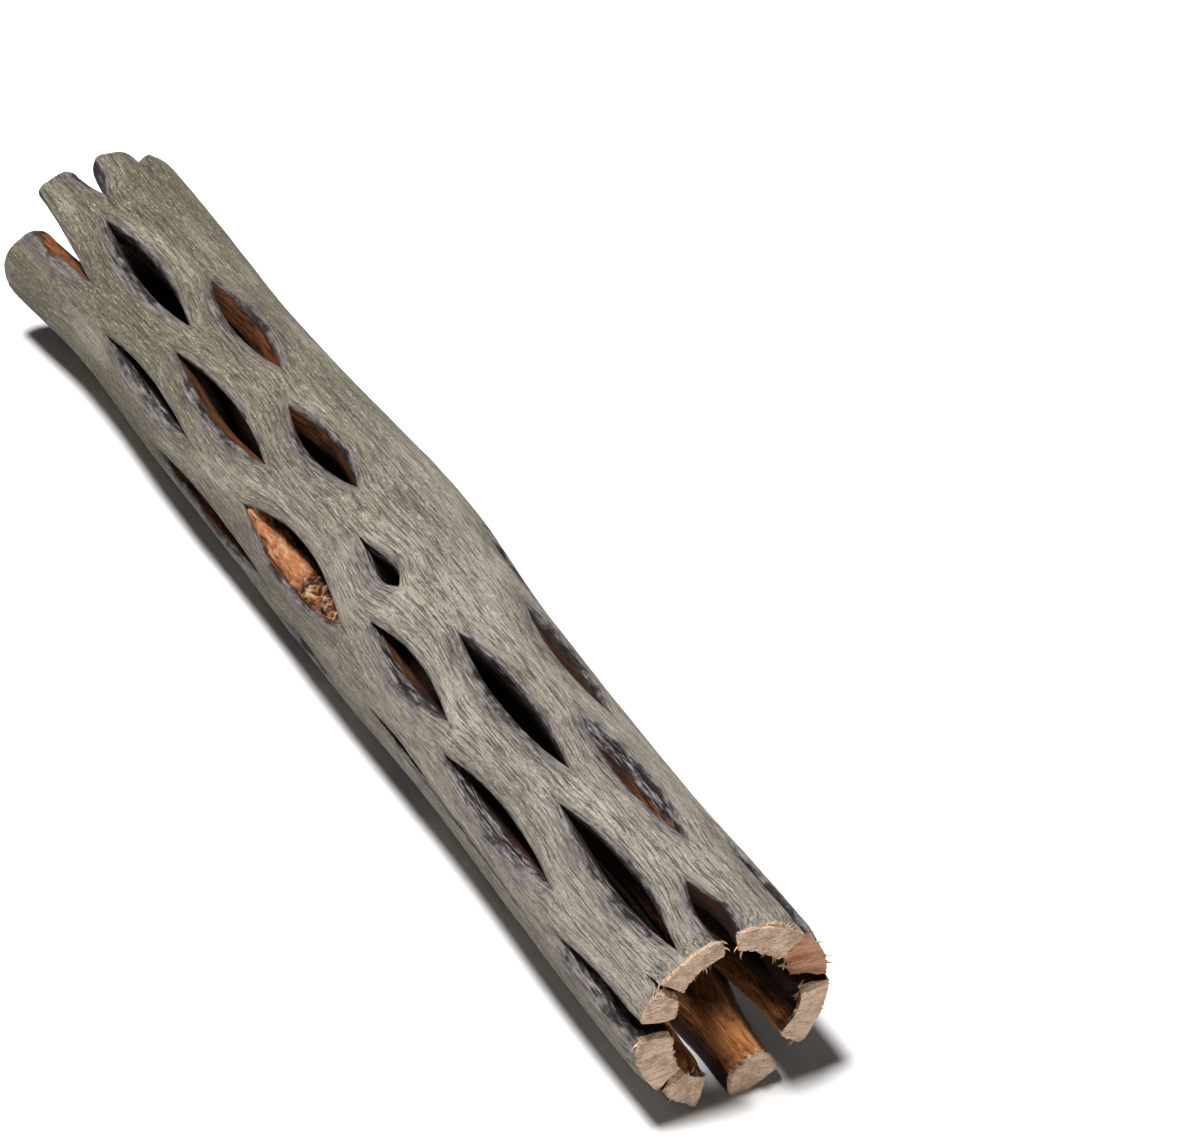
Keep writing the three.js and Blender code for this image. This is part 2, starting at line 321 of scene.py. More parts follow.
class StudioLook(bpy.types.PropertyGroup):
    """The floor and light of the studio."""

    floor: colour_property("Floor", "Plain pale floor", "#f6f5f4")
    key_power: bpy.props.FloatProperty(
        name="Key light", description="Power of the light above", default=20.5, min=0, subtype="POWER"
    )
    fill_power: bpy.props.FloatProperty(
        name="Fill light", description="Power of the light in front", default=2.0, min=0, subtype="POWER"
    )
    ambient: bpy.props.FloatProperty(
        name="Ambient", description="Strength of the even light all round", default=0.02, min=0
    )


def fill(tree, node, inputs):
    """Give inputs of a node their values. A socket is linked, and a node by its first output in use."""
    for key, value in inputs.items():
        if isinstance(value, bpy.types.Node):
            value = next(output for output in value.outputs if output.enabled)
        if isinstance(value, bpy.types.NodeSocket):
            tree.links.new(value, node.inputs[key])
        else:
            node.inputs[key].default_value = value


def add(tree, kind, inputs=None, **settings):
    """Add a node with its settings and links."""
    node = tree.nodes.new(kind)
    for name, value in settings.items():
        setattr(node, name, value)
    fill(tree, node, inputs or {})
    return node


def tint(tree, base, colour, value, low, high, share=1.0):
    """Lay a colour over another: none where a value is at low, and a share of it where it is at high."""
    ramp = add(tree, "ShaderNodeMapRange", {0: value, 1: low, 2: high}, **SOFT_RUN)
    amount = add(tree, "ShaderNodeMath", {0: ramp, 1: share}, operation="MULTIPLY")
    return add(tree, "ShaderNodeMix", {0: amount, 6: base, 7: colour}, data_type="RGBA")


def fibre_noise(tree, fibre, along, across, detail=2.0, offset=0.0, distortion=0.0):
    """Noise drawn out along the fibres, with its grain size in millimetres along and across them."""
    scale = (1 / along, 1 / across, 1 / across)
    mapped = add(tree, "ShaderNodeMapping", {"Vector": fibre, "Scale": scale, "Location": (offset,) * 3})
    sizes = {"Scale": 1.0, "Detail": detail, "Roughness": 0.6, "Distortion": distortion}
    return add(tree, "ShaderNodeTexNoise", {"Vector": mapped, **sizes})


def wood_tree(name, *stated):
    """A new material with its tree and shader, the fibre coordinates and the values that each point
    states under these names."""
    material = bpy.data.materials.new(name)
    material.use_nodes = True
    tree = material.node_tree
    shader = tree.nodes["Principled BSDF"]
    fibre = add(tree, "ShaderNodeAttribute", attribute_name="fibre").outputs["Vector"]
    values = [add(tree, "ShaderNodeAttribute", attribute_name=key).outputs["Fac"] for key in stated]
    return material, tree, shader, fibre, *values


def weathered_cholla(finish):
    """Cholla wood greyed by sun and water: dry, matt and silvery on the skin with fine dark cracks along the
    grain, stained violet grey around the slots, and still red brown to orange on the walls that the weather
    can't reach. Painted shade darkens the underside, the grooves, the slots' edges, the deep hollow and the
    weathered end, and painted light brightens the wood inside near the sawn end."""
    stated = ("depth", "bright", "stain", "greyed", "raised", "lumps")
    material, tree, shader, fibre, *values = wood_tree("weathered_cholla_wood", *stated)
    depth, bright, stain, greyed, raised, lumps = values
    # Cracks and hairs finer than these wouldn't show in the render
    cracks = fibre_noise(tree, fibre, 3.6, 0.18, detail=3.0, distortion=0.5)
    hairs = fibre_noise(tree, fibre, 2.0, 0.17, offset=53.0, distortion=2.2)
    felt = fibre_noise(tree, fibre, 0.8, 0.30, detail=4.0, offset=71.0, distortion=1.2)
    washes = fibre_noise(tree, fibre, 2.4, 0.3, detail=4.0, offset=77.0, distortion=0.4)
    patches = fibre_noise(tree, fibre, 16.0, 5.0, detail=4.0, offset=31.0)
    spots = fibre_noise(tree, fibre, 2.6, 1.5, detail=5.0, offset=91.0)
    mottled = add(tree, "ShaderNodeMath", {0: spots, 1: 0.5}, operation="SUBTRACT")
    place, upward, _ = add(tree, "ShaderNodeSeparateXYZ", {0: fibre}).outputs

    # Silvery skin, darker, browner and less lined away from the sawn end: a browner tone there, and painted
    # shade for the light falling off towards that end
    nearness = add(tree, "ShaderNodeMapRange", {0: place, 1: -65.0, 2: 45.0}, **SOFT_RUN)
    haired = add(tree, "ShaderNodeMath", {0: nearness, 1: 0.25, 2: 0.28}, operation="MULTIPLY_ADD")
    lined = add(tree, "ShaderNodeMath", {0: nearness, 1: 0.32, 2: 0.28}, operation="MULTIPLY_ADD")
    skin = add(tree, "ShaderNodeMix", {0: nearness, 6: finish.skin_far, 7: finish.skin}, data_type="RGBA")
    layers = (
        (finish.skin_pale, patches, 0.50, 0.72, 0.40),
        (finish.crack_dark_and_shade, patches, 0.48, 0.28, 0.45),
        (finish.skin_pale, felt, 0.52, 0.70, 0.60),
        (finish.crack_dark_and_shade, felt, 0.48, 0.30, 0.65),
        (finish.skin_pale, hairs, 0.56, 0.70, haired),
        (finish.crack_dark_and_shade, cracks, 0.48, 0.35, lined),
        # Painted shade: the skin darkens towards the underside of the stem
        (finish.crack_dark_and_shade, upward, 6.0, -4.0, 0.4),
        # Painted shade in the grooves between the raised fibres
        (finish.crack_dark_and_shade, raised, -0.005, -0.045, 0.35),
    )
    for layer in layers:
        skin = tint(tree, skin, *layer)

    # Violet grey stain, streaked along the grain and darkened around the slots; near black at the slots'
    # edges, as dark stain and as painted shade where the edges drop into the holes
    soiled = tint(tree, finish.stain, finish.stain_dark, washes, 0.58, 0.36)
    soiled = tint(tree, soiled, finish.skin_pale, washes, 0.58, 0.72, 0.6)
    spread = add(tree, "ShaderNodeMath", {0: mottled, 1: 1.6, 2: stain}, operation="MULTIPLY_ADD")
    skin = tint(tree, skin, finish.crack_dark_and_shade, spread, 0.05, 0.7, 0.35)
    skin = tint(tree, skin, soiled, spread, 0.22, 0.85, 0.8)
    skin = tint(tree, skin, finish.edge_stain_and_shade, spread, 0.66, 1.02, 0.85)

    # Brown to orange wood inside, behind a near black rim of dark stain and painted shade
    uneven = add(tree, "ShaderNodeMath", {0: mottled, 1: 0.35, 2: depth}, operation="MULTIPLY_ADD")
    streaks = add(tree, "ShaderNodeMapRange", {0: cracks, 1: 0.38, 2: 0.60}, **SOFT_RUN)
    # Painted light: where bright rises above 1, the wood inside near the sawn end turns paler orange with
    # fewer dark streaks
    painted_light_inside = add(tree, "ShaderNodeMapRange", {0: bright, 1: 1.0, 2: 2.0}, **SOFT_RUN)
    streaks = add(tree, "ShaderNodeMath", {0: streaks, 1: painted_light_inside}, operation="ADD")
    warm = tint(tree, finish.wall_bright, finish.torn_core, lumps, 0.0, 0.25)
    warm = tint(tree, warm, finish.fresh_lit_inside, bright, 1.0, 1.6)
    streak_dark = tint(tree, finish.wall, finish.broken, bright, 1.0, 2.6)
    fresh = add(tree, "ShaderNodeMix", {0: streaks, 6: streak_dark, 7: warm}, data_type="RGBA")
    fresh = tint(tree, fresh, finish.wall, spots, 0.5, 0.32, 0.6)
    wood = add(tree, "ShaderNodeMix", {0: bright, 6: finish.wall, 7: fresh}, data_type="RGBA")
    reached = add(tree, "ShaderNodeMath", {0: greyed, 1: -0.42, 2: uneven}, operation="MULTIPLY_ADD")
    reached = add(tree, "ShaderNodeMath", {0: bright, 1: 0.1, 2: reached}, operation="MULTIPLY_ADD")
    rim_stain_and_shade = tint(tree, soiled, finish.edge_stain_and_shade, washes, 0.68, 0.42)
    rim = tint(tree, finish.edge_stain_and_shade, rim_stain_and_shade, greyed, 0.05, 0.35)
    colour = tint(tree, skin, rim, uneven, 0.05, 0.18)
    colour = tint(tree, colour, wood, reached, 0.12, 0.26)
    # Painted shade: dark red brown wood deep in the wall, darkened as the shade inside the hollow
    unlit = add(tree, "ShaderNodeMath", {0: 1.0, 1: bright}, operation="SUBTRACT")
    colour = tint(tree, colour, finish.inside, uneven, 0.60, 0.95, unlit)

    height = add(tree, "ShaderNodeMapRange", {0: cracks, 1: 0.30, 2: 0.5}, **SOFT_RUN)
    height = add(tree, "ShaderNodeMath", {0: hairs, 1: 0.5, 2: height}, operation="MULTIPLY_ADD")
    height = add(tree, "ShaderNodeMath", {0: felt, 1: 1.2, 2: height}, operation="MULTIPLY_ADD")
    relief = add(tree, "ShaderNodeBump", {"Height": height, "Distance": 0.16 * MM, "Strength": 1.0})
    matt = {"Roughness": 0.88, "Specular IOR Level": 0.25, "IOR": 1.45}
    fill(tree, shader, {"Base Color": colour, "Normal": relief, **matt})
    return material


def sawn_cholla(finish):
    """Cholla wood across a saw cut: pale, pinkish and dry, with open pores and faint saw marks, and
    yellowish where the edge is torn."""
    material, tree, shader, fibre, border, broken = wood_tree("sawn_cholla_wood", "border", "broken")
    # Pores are drawn coarser than real ones, so that they show
    pores = fibre_noise(tree, fibre, 4.0, 0.22)
    clouds = fibre_noise(tree, fibre, 3.0, 1.6, detail=3.0, offset=17.0)
    stroke = {"Rotation": (0.6, 0.0, 0.0), "Scale": (0.3, 5.0, 0.7)}
    cuts = add(tree, "ShaderNodeMapping", {"Vector": fibre, **stroke})
    marks = add(tree, "ShaderNodeTexNoise", {"Vector": cuts, "Scale": 1.0, "Detail": 3.0})
    colour = tint(tree, finish.sawn, finish.sawn_dark, clouds, 0.56, 0.36, 0.6)
    colour = tint(tree, colour, finish.sawn_dark, marks, 0.52, 0.36, 0.6)
    colour = tint(tree, colour, finish.sawn_dark, pores, 0.46, 0.28, 0.8)
    warm = add(tree, "ShaderNodeMapRange", {0: clouds, 1: 0.5, 2: 0.6}, **SOFT_RUN)
    warm = add(tree, "ShaderNodeMath", {0: border, 1: warm}, operation="MULTIPLY")
    warm = add(tree, "ShaderNodeMath", {0: broken, 1: warm}, operation="MAXIMUM")
    warm = add(tree, "ShaderNodeMath", {0: warm, 1: 0.6}, operation="MULTIPLY")
    colour = add(tree, "ShaderNodeMix", {0: warm, 6: colour, 7: finish.broken}, data_type="RGBA")
    frayed = add(tree, "ShaderNodeMath", {0: border, 1: pores}, operation="MULTIPLY")
    colour = tint(tree, colour, finish.torn, frayed, 0.45, 0.6)
    rough = add(tree, "ShaderNodeMath", {0: pores, 1: marks}, operation="ADD")
    rough = add(tree, "ShaderNodeMath", {0: clouds, 1: 2.0, 2: rough}, operation="MULTIPLY_ADD")
    relief = add(tree, "ShaderNodeBump", {"Height": rough, "Distance": 0.25 * MM, "Strength": 1.0})
    matt = {"Roughness": 0.9, "Specular IOR Level": 0.2}
    fill(tree, shader, {"Base Color": colour, "Normal": relief, **matt})
    return material


def torn_cholla(finish):
    """Fibres torn loose by the saw: thin, dry, yellowish strands."""
    material, tree, shader, _ = wood_tree("torn_cholla_fibre")
    place = add(tree, "ShaderNodeTexCoord").outputs["Object"]
    streaks = fibre_noise(tree, place, 1.2 * MM, 0.6 * MM)
    colour = tint(tree, finish.sawn_dark, finish.torn, streaks, 0.38, 0.58)
    fill(tree, shader, {"Base Color": colour, "Roughness": 0.85, "Specular IOR Level": 0.2})
    return material


def crumbling_cholla(finish):
    """Rotten core of cholla wood: orange with peach patches and dark streaks, paler peach on its raised
    fibres and crumbs as painted highlight, and dark in the crevices as painted shade."""
    material, tree, shader, fibre, raised, lumps = wood_tree("crumbling_cholla_wood", "raised", "lumps")
    streaks = fibre_noise(tree, fibre, 1.6, 0.22, detail=4.0, distortion=0.9)
    patches = fibre_noise(tree, fibre, 2.0, 1.2, detail=3.0, offset=23.0)
    bands = fibre_noise(tree, fibre, 0.55, 1.3, detail=5.0, offset=51.0, distortion=0.3)
    height = add(tree, "ShaderNodeMath", {0: streaks, 1: 0.5}, operation="SUBTRACT")
    height = add(tree, "ShaderNodeMath", {0: height, 1: 0.6, 2: raised}, operation="MULTIPLY_ADD")
    parted = add(tree, "ShaderNodeMapRange", {0: lumps, 1: 0.2, 2: 1.2}, **SOFT_RUN)
    parted = add(tree, "ShaderNodeMath", {0: parted, 1: 0.95}, operation="MULTIPLY")
    colour = tint(tree, finish.broken, finish.torn_core, patches, 0.42, 0.62)
    # Painted highlight on the raised fibres and crumbs
    colour = tint(tree, colour, finish.torn, height, -0.02, 0.4)
    # Painted shade in the crevices
    colour = tint(tree, colour, finish.wall, height, -0.08, -0.4)
    colour = tint(tree, colour, finish.wall, streaks, 0.44, 0.3, 0.6)
    colour = tint(tree, colour, finish.wall, bands, 0.64, 0.42, parted)
    relief = add(tree, "ShaderNodeBump", {"Height": streaks, "Distance": 0.35 * MM, "Strength": 1.0})
    matt = {"Roughness": 0.9, "Specular IOR Level": 0.2}
    fill(tree, shader, {"Base Color": colour, "Normal": relief, **matt})
    return material


def plain_floor(look):
    """A matt pale board."""
    material = bpy.data.materials.new("pale_studio_floor")
    material.use_nodes = True
    tree = material.node_tree
    matt = {"Base Color": look.floor, "Roughness": 0.95, "Specular IOR Level": 0.1}
    fill(tree, tree.nodes["Principled BSDF"], matt)
    return material


def wrapped(angle):
    """An angle between -180 and 180 degrees."""
    return angle - 360.0 * np.round(angle / 360.0)


def bell(offset, width):
    """1 in the middle, falling away softly on both sides."""
    return np.exp(-((offset / width) ** 2))


def smooth(value, low, high):
    """0 up to low and 1 from high on, with a soft run between them."""
    share = np.clip((value - low) / (high - low), 0.0, 1.0)
    return share * share * (3 - 2 * share)


def chance(number):
    """A repeatable chance value between 0 and 1 for each slot number."""
    return (math.sin(number * 12.9898) * 43758.5453) % 1.0


def spiral_slot(number):
    """Where the spiral's rule puts a slot: middle x, angle, length, width."""
    phase = 2 * math.pi * (number - CROWDED_SLOT) / CROWDING_PERIOD
    rise = RISE - CROWDING * 2 * math.pi / CROWDING_PERIOD * math.cos(phase)
    x = FIRST_X + RISE * number - CROWDING * math.sin(phase)
    angle = FIRST_ANGLE - DIVERGENCE * number
    closing = NARROW_SIDE_SHARE * bell(wrapped(angle - NARROW_SIDE_ANGLE), NARROW_SIDE_SPREAD)
    width = (SLOT_WIDTH + WIDTH_SPREAD * (chance(number) - 0.5)) * (1 - closing)
    return x, angle, SLOT_RISES * rise, width


def stem_slots(rows):
    """The slots on this stem, each with the fibre line that it opens and the rows of its two tips."""
    slots = []
    for number in SLOT_NUMBERS:
        x, angle, length, width = MEASURED_SLOTS.get(number) or spiral_slot(number)
        low, high = x - length / 2, x + length / 2
        if abs(low - WORN_END) < END_MARGIN:
            low = WORN_END - END_MARGIN
        if abs(high - SAWN_END) < END_MARGIN:
            high = SAWN_END + END_MARGIN
        on_stem = high > WORN_END + SHORTEST_NOTCH and low < SAWN_END - SHORTEST_NOTCH
        if number in HEALED_SLOTS or not on_stem:
            continue
        line = round(angle / LINE_STEP)
        slots.append(
            SimpleNamespace(
                number=number,
                low=low,
                high=high,
                width=width,
                skew=SKEWED_SLOTS.get(number, 0.0),
                line=line % LINES,
                shift=angle - line * LINE_STEP,
                first=-1 if low < WORN_END else int(np.abs(rows - low).argmin()),
                last=len(rows) if high > SAWN_END else int(np.abs(rows - high).argmin()),
                bright=BRIGHT_SLOTS.get(number, USUAL_BRIGHTNESS),
                torn=TORN_SLOTS.get(number, 0.0),
                fading=FADING_SLOTS.get(number, 0.0),
                greyed=GREYED_SLOTS.get(number, USUAL_GREYING),
                lean=LEANING_SLOTS.get(number, USUAL_LEAN),
                worn_edge=-1 if wrapped(angle - WEATHER_ANGLE) < 0 else 1,
            )
        )
    return slots


def stem_creases():
    """Creases in the skin, as slots that never open."""
    closed = {"skew": 0.0, "bright": 0.0, "torn": 0.0, "fading": 0.0, "greyed": 0.0}
    creases = []
    for x, angle, length, width in CREASES:
        line = round(angle / LINE_STEP) % LINES
        crease = SimpleNamespace(low=x - length / 2, high=x + length / 2, width=width, line=line, **closed)
        creases.append(crease)
    return creases


def row_places():
    """Rows along the stem, closer together at both ends."""
    band = END_BAND * np.linspace(0, 1, END_BAND_ROWS + 1)[:-1] ** END_CROWDING
    middle = np.linspace(WORN_END + END_BAND, SAWN_END - END_BAND, MIDDLE_ROWS)
    return np.concatenate([WORN_END + band, middle, SAWN_END - band[::-1]])


def half_width(slot, x):
    """Half the width of a slot at a place along the stem, as the solid has it but for the skew."""
    along = np.clip((2 * x - slot.low - slot.high) / (slot.high - slot.low), -1.0, 1.0)
    along = along - slot.skew * (1 - along**2)
    return slot.width / 2 * np.maximum(0.0, 1 - along**2) ** LENS_FULLNESS


def beside(slot, x, fade):
    """1 beside a slot, falling to 0 a given distance past its tips."""
    past = np.maximum(np.maximum(slot.low - x, x - slot.high), 0.0)
    return 1 - smooth(past, 0.0, fade)


def hump(form, angle, x):
    """Height of a soft swelling of the stem."""
    return form.height * bell(x - form.x, form.length) * bell(wrapped(angle - form.angle), form.spread)


def waviness(waves, angle, x):
    """Height of waves that wind round the stem."""
    total = 0.0
    for height, lobes, pitch, phase in waves:
        total = total + height * np.sin(np.radians(angle) * lobes + 2 * np.pi * x / pitch + phase)
    return total


def ragged(chance_values, count):
    """Chance values from 0 to 1 round the stem, as a column: wide dents with small nicks in them."""
    dents = chance_values.random(count // DENT_LINES) ** 2
    ends = np.arange(len(dents) + 1) * DENT_LINES
    wide = np.interp(np.arange(count), ends, np.append(dents, dents[0]))
    small = chance_values.random(count) ** 2
    nicks = (np.roll(small, 1) + 2 * small + np.roll(small, -1)) / 4
    return ((1 - NICK_SHARE) * wide + NICK_SHARE * nicks)[:, None]


class StemGrid:
    """Every node of the fine mesh: fibre lines by rows, with both edges of each slot and the levels between
    the outer and the inner skin."""

    def __init__(self, shape):
        self.shape = shape
        self.rows = row_places()
        self.slots = stem_slots(self.rows)
        self.angle = (np.arange(LINES) * LINE_STEP)[:, None]
        self.x = np.repeat(self.rows[None, :], LINES, 0)
        self.split = np.zeros(self.x.shape, bool)
        self.through = np.zeros(self.x.shape, bool)
        self.through[:, [0, -1]] = True
        for slot in self.slots:
            if slot.first >= 0:
                self.x[slot.line, slot.first] = slot.low
            if slot.last < len(self.rows):
                self.x[slot.line, slot.last] = slot.high
            self.split[slot.line, slot.first + 1 : slot.last] = True
            self.through[slot.line, max(slot.first, 0) : slot.last + 1] = True
        self.roll_rims()
        self.wear_ends()

    def away(self, slot):
        """Angle from a slot's line to every line, as a column."""
        return wrapped(self.angle - slot.line * LINE_STEP)

    def roll_rims(self):
        """How far the skin rolls in beside the slots, more at their lower edges than at their upper ones,
        and how stained, fresh and torn the wood is there. Rims and stains have a layer for each edge."""
        shape = self.shape
        self.rim = np.zeros((2,) + self.x.shape)
        self.stain = np.zeros((2,) + self.x.shape)
        self.bright = np.zeros(self.x.shape)
        self.torn = np.zeros(self.x.shape)
        self.greyed = np.zeros(self.x.shape)
        for slot in self.slots + stem_creases():
            away = self.away(slot)
            distance = np.radians(np.abs(away)) * RADIUS
            lens = half_width(slot, self.x) / (slot.width / 2)
            near = beside(slot, self.x, shape.rim_run) * min(1.0, slot.width / FULL_RIM_SLOT)
            near = near * (TIP_RIM_SHARE + (1 - TIP_RIM_SHARE) * lens)
            for layer, edge in enumerate((-1, 1)):
                lower = np.where(away == 0, edge < 0, away < 0)
                share = np.where(lower, 1.0, UPPER_RIM_SHARE)
                roll = np.clip(1 - distance / (share * shape.rim_width), 0, 1) ** 2
                self.rim[layer] = np.maximum(self.rim[layer], share * shape.rim_drop * roll * near)
                reach = np.where(lower, 1.0, UPPER_STAIN_SHARE) * shape.stain_width
                soil = np.clip(1 - distance / reach, 0, 1) * near
                self.stain[layer] = np.maximum(self.stain[layer], soil)
            along = np.clip((self.x - slot.low) / (slot.high - slot.low), 0.0, 1.0)
            lost = smooth(1 - along if slot.fading > 0 else along, *FADING_RUN)
            close = beside(slot, self.x, FRESH_REACH)
            fresh = slot.bright * (1 - abs(slot.fading) * lost) * bell(distance, FRESH_REACH) * close
            self.bright = np.maximum(self.bright, fresh)
            self.greyed = np.maximum(self.greyed, slot.greyed * (away == 0) * close)
            self.torn = np.maximum(self.torn, slot.torn * bell(distance, TORN_REACH) * lens)

    def wear_ends(self):
        """How far each node stops short of the ends: worn tips at one, chipped edges at the other."""
        rng = np.random.default_rng(self.shape.seed)
        turned = wrapped(self.angle)
        self.slant_line = round(MEASURED_SLOTS[SLANT_SLOT][1] / LINE_STEP) % LINES
        slit = wrapped(self.slant_line * LINE_STEP)
        slope = SLANT_DEPTH * smooth(turned, *SLANT_ANGLES) * (turned < slit + LINE_STEP / 2)
        short = WEAR_DEPTH * np.sin(np.radians(self.angle - LONGEST_STRUT_ANGLE)) ** 2
        fade = 1 - smooth(self.x - WORN_END, 0, WEAR_LENGTH)
        corner = np.zeros(self.x.shape)
        self.edge = np.zeros(self.x.shape)
        for slot in self.slots:
            distance = np.radians(np.abs(self.away(slot))) * RADIUS
            if slot.first < 0:
                round_off = np.clip(1 - distance / CORNER_WIDTH, 0, 1) ** 2
                corner = np.maximum(corner, CORNER_DEPTH * round_off)
            if slot.last >= len(self.rows):
                self.edge = np.maximum(self.edge, np.clip(1 - distance / SAWN_EDGE_WIDTH, 0, 1))
        corner = corner * (1 - smooth(self.x - WORN_END, 0, CORNER_LENGTH))
        self.short = short * fade + corner
        self.slant = slope * fade
        self.chips = self.shape.chip_depth * ragged(rng, LINES)
        self.inner_chips = self.shape.chip_depth * ragged(rng, LINES)
        self.splinters = LEAST_SPLINTER + ragged(rng, LINES)

    def broken(self, side):
        """1 on the strut that broke off behind the saw cut, as a column."""
        first, last = (slot.line for slot in self.slots if slot.number in BROKEN_BETWEEN)
        line = np.arange(LINES)[:, None]
        return ((line >= first + (side < 0)) & (line <= last - (side > 0))).astype(float)

    def parted(self, side, depth, radius):
        """The angle of every fibre at one level, pushed aside by the slots near it."""
        belly = 4 * depth * (1 - depth)
        total = np.repeat(self.angle, self.x.shape[1], 1)
        for slot in self.slots:
            away = self.away(slot)[:, 0]
            near = np.abs(away) < PARTING_REACH
            push = (1 - np.abs(away[near]) / PARTING_REACH)[:, None]
            edge = np.where(np.arange(LINES) == slot.line, side, np.sign(away))[near][:, None]
            x = self.x[near]
            opening = half_width(slot, x)
            lean = np.where(edge == slot.worn_edge, slot.lean, OTHER_LEAN)
            lean = lean * depth * opening / (slot.width / 2)
            gap = np.maximum(opening - STRUT_BELLY * belly, opening / 2) - lean
            shift = slot.shift * beside(slot, x, PARTING_FADE)
            total[near] += push * (edge * np.degrees(gap / radius[near]) + shift)
        return total

    def level(self, side, depth):
        """Positions and finish values of all nodes at one level of the wall, on one side of the slots."""
        belly = 4 * depth * (1 - depth)
        full = RADIUS + hump(SWELL, self.angle, self.x) + hump(FLARE, self.angle, self.x)
        full = full + waviness(OUTER_WAVES, self.angle, self.x)
        hollow = RADIUS - WALL - hump(PITH, self.angle, self.x) + waviness(INNER_WAVES, self.angle, self.x)
        for place in THIN_PLACES:
            hollow = hollow + hump(place, self.angle, self.x)
        layer = int(side > 0)
        outer = full - self.rim[layer]
        inner = hollow + self.rim[layer] / 2
        radius = outer + (inner - outer) * depth
        finish_depth = (full - radius) / (full - hollow)
        chips = self.chips if depth < 0.5 else self.inner_chips
        rim = max(1 - min(depth, 1 - depth) / CHIPPED_LEVEL, 0.0)
        at_saw = smooth(self.x, SAWN_END - CHIP_REACH, SAWN_END)
        radius -= CHIP_ROUNDING * chips * rim * (1 - 2 * depth) * at_saw**2
        parted = np.radians(self.parted(side, depth, radius))
        height = np.maximum(radius * np.cos(parted), -AXIS_HEIGHT)
        slanted = np.ones(self.x.shape)
        if side > 0:
            slanted[self.slant_line] = 0.0
        x = self.x + self.short + self.slant * slanted
        x += TIP_ROUNDING * (1 - belly) * (1 - smooth(self.x - WORN_END, 0, TIP_REACH))
        broken = self.broken(side)
        depth_lost = BROKEN_DEPTH * self.splinters * np.interp(depth, (0, 1), BROKEN_SHARES)
        x -= broken * depth_lost * smooth(self.x, SAWN_END - BROKEN_LENGTH, SAWN_END)
        border = np.maximum(rim, self.edge[:, -1:])
        x -= chips * border * at_saw
        position = np.stack([x - MIDDLE, radius * np.sin(parted), height + AXIS_HEIGHT], -1)
        fibre_angle = np.radians(self.angle)
        fibre = np.stack([x, radius * np.cos(fibre_angle), radius * np.sin(fibre_angle)], -1)
        grey_end = np.where(self.bright < FRESH_FROM, GREY_TIP_END, FRESH_TIP_END)
        weathered = smooth(self.x - WORN_END, GREY_TIP_START, grey_end)
        on_floor = height <= -AXIS_HEIGHT
        inside = smooth(depth, INNER_RELIEF_FROM, 1)
        relief = (1 - inside) * self.shape.skin_relief + inside * self.shape.inner_relief
        # Painted light on the lower wall inside, near the sawn end
        below = smooth(-np.cos(np.radians(self.angle)), *FRESH_LIT_INSIDE_DROPS)
        fresh_lit_inside = FRESH_LIT_INSIDE_BRIGHTNESS * smooth(self.x, FRESH_LIT_INSIDE_FROM, SAWN_END)
        fresh_lit_inside = fresh_lit_inside * smooth(depth, *FRESH_LIT_INSIDE_DEPTHS) * below
        lumps = self.shape.torn_relief * self.torn * smooth(depth, *TORN_DEPTHS)
        all_nodes = np.ones(self.x.shape)
        return {
            "position": position,
            "fibre": fibre,
            "depth": finish_depth * (TIP_DEPTH_SHARE + (1 - TIP_DEPTH_SHARE) * weathered),
            "bright": np.maximum(self.bright, fresh_lit_inside),
            "stain": self.stain[layer],
            "greyed": self.greyed,
            "relief": np.where(on_floor, 0.0, relief),
            "lumps": np.where(on_floor, 0.0, lumps),
            "border": border * all_nodes * (self.x > SAWN_END - SAWN_EDGE_WIDTH),
            "broken": broken * all_nodes,
        }

    def nodes(self):
        """Node numbers by level, side, line and row, and the values of the numbered nodes."""
        count = len(LEVEL_DEPTHS)
        used = np.repeat(self.through[None], count, 0)
        used[[0, -1]] = True
        numbers = np.full((count, 2) + self.x.shape, -1)
        doubled = used & self.split
        numbers[:, 0][used] = np.arange(used.sum())
        numbers[:, 1] = numbers[:, 0]
        numbers[:, 1][doubled] = used.sum() + np.arange(doubled.sum())
        values = {}
        for side, chosen in ((0, used), (1, doubled)):
            levels = [self.level(2 * side - 1, depth) for depth in LEVEL_DEPTHS]
            for name in levels[0]:
                stacked = np.stack([level[name] for level in levels])[chosen]
                values[name] = np.concatenate([values[name], stacked]) if name in values else stacked
        return numbers, values

    def sawn_rim(self):
        """Points on the edges of the sawn faces, each with the way in which a torn fibre would stick out."""
        points, ways = [], []
        for side in (-1, 1):
            for depth in LEVEL_DEPTHS:
                place = self.level(side, depth)["position"][:, -1]
                clear = place[:, 2] > self.shape.torn_length * FIBRE_CLEARANCE
                turn = np.arctan2(place[:, 1], place[:, 2] - AXIS_HEIGHT)
                outward = np.stack([0 * turn, np.sin(turn), np.cos(turn)], -1)
                round_about = np.stack([0 * turn, np.cos(turn), -np.sin(turn)], -1)
                if depth in (0.0, 1.0):
                    chosen = clear & (side < 0)
                    way = outward * (1 - 2 * depth)
                else:
                    chosen = clear & self.split[:, -1]
                    way = -side * round_about
                points.append(place[chosen])
                ways.append(way[chosen] + FIBRE_LEAN)
        return np.concatenate(points), np.concatenate(ways)

